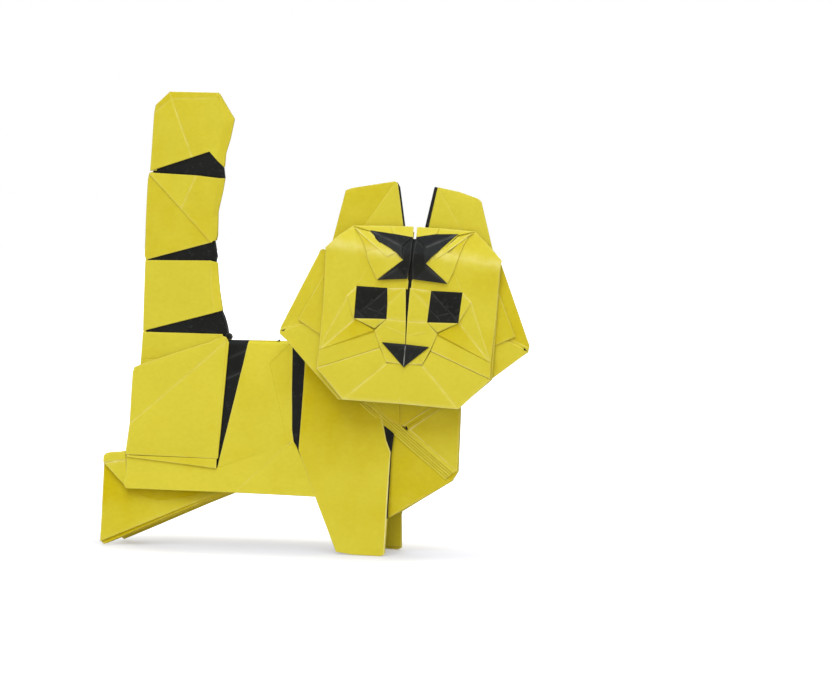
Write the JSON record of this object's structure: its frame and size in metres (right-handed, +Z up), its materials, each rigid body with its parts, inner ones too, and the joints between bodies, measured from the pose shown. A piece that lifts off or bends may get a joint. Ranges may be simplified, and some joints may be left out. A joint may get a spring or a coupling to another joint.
{
  "type": "origami tiger",
  "caption": "Free-standing folded paper tiger with a tall striped tail and a flat mask face turned to one side.",
  "frame": {"origin": "on the floor, under the middle of the whole figure", "axes": "+X from the rump to the chest, -Y the side the face looks to, +Z up"},
  "size_m": [0.1088, 0.0202, 0.1112],
  "materials": {
    "yellow_face": "matte coloured origami paper, creased",
    "black_face": "matte black reverse side of the same sheet"
  },
  "bodies": {
    "root": {"folded_sheet": "yellow_face"}
  },
  "joints": []
}
